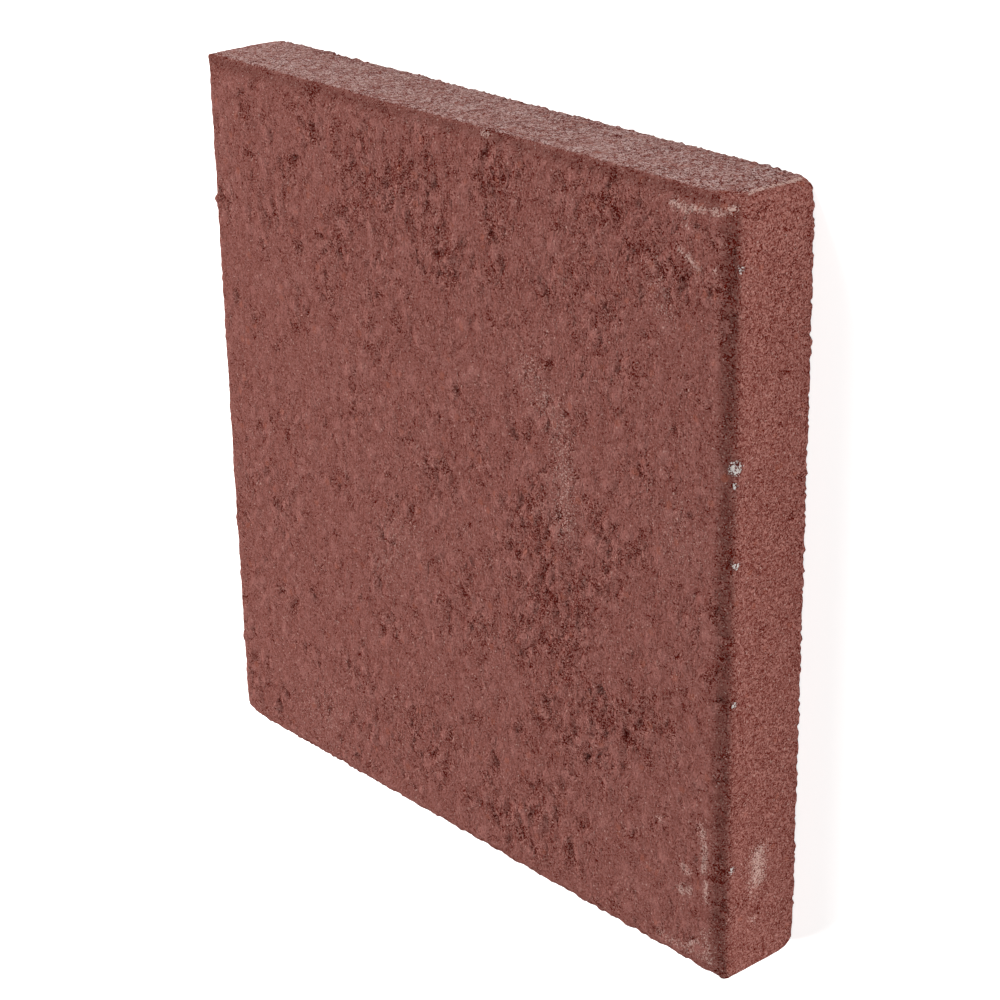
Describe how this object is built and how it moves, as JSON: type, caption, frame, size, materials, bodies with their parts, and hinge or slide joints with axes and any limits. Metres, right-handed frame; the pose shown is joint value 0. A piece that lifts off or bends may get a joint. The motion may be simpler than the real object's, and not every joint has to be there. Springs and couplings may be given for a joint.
{
  "type": "concrete paving stone",
  "caption": "Square red pigmented concrete paving stone with a bevelled, soft-arrised edge round its finished face, lying flat on its bed face.",
  "frame": {"origin": "centre of the bed face, on the ground", "axes": "+Z up through the finished face; +X and +Y along the stone's sides, +X to the right and +Y up on the finished face as the picture shows it"},
  "size_m": [0.298, 0.298, 0.04],
  "materials": {
    "red_concrete": "dry-cast, fine open-textured, matt, integrally pigmented with red iron oxide"
  },
  "bodies": {
    "root": {"paving_stone": "red_concrete"}
  },
  "joints": []
}
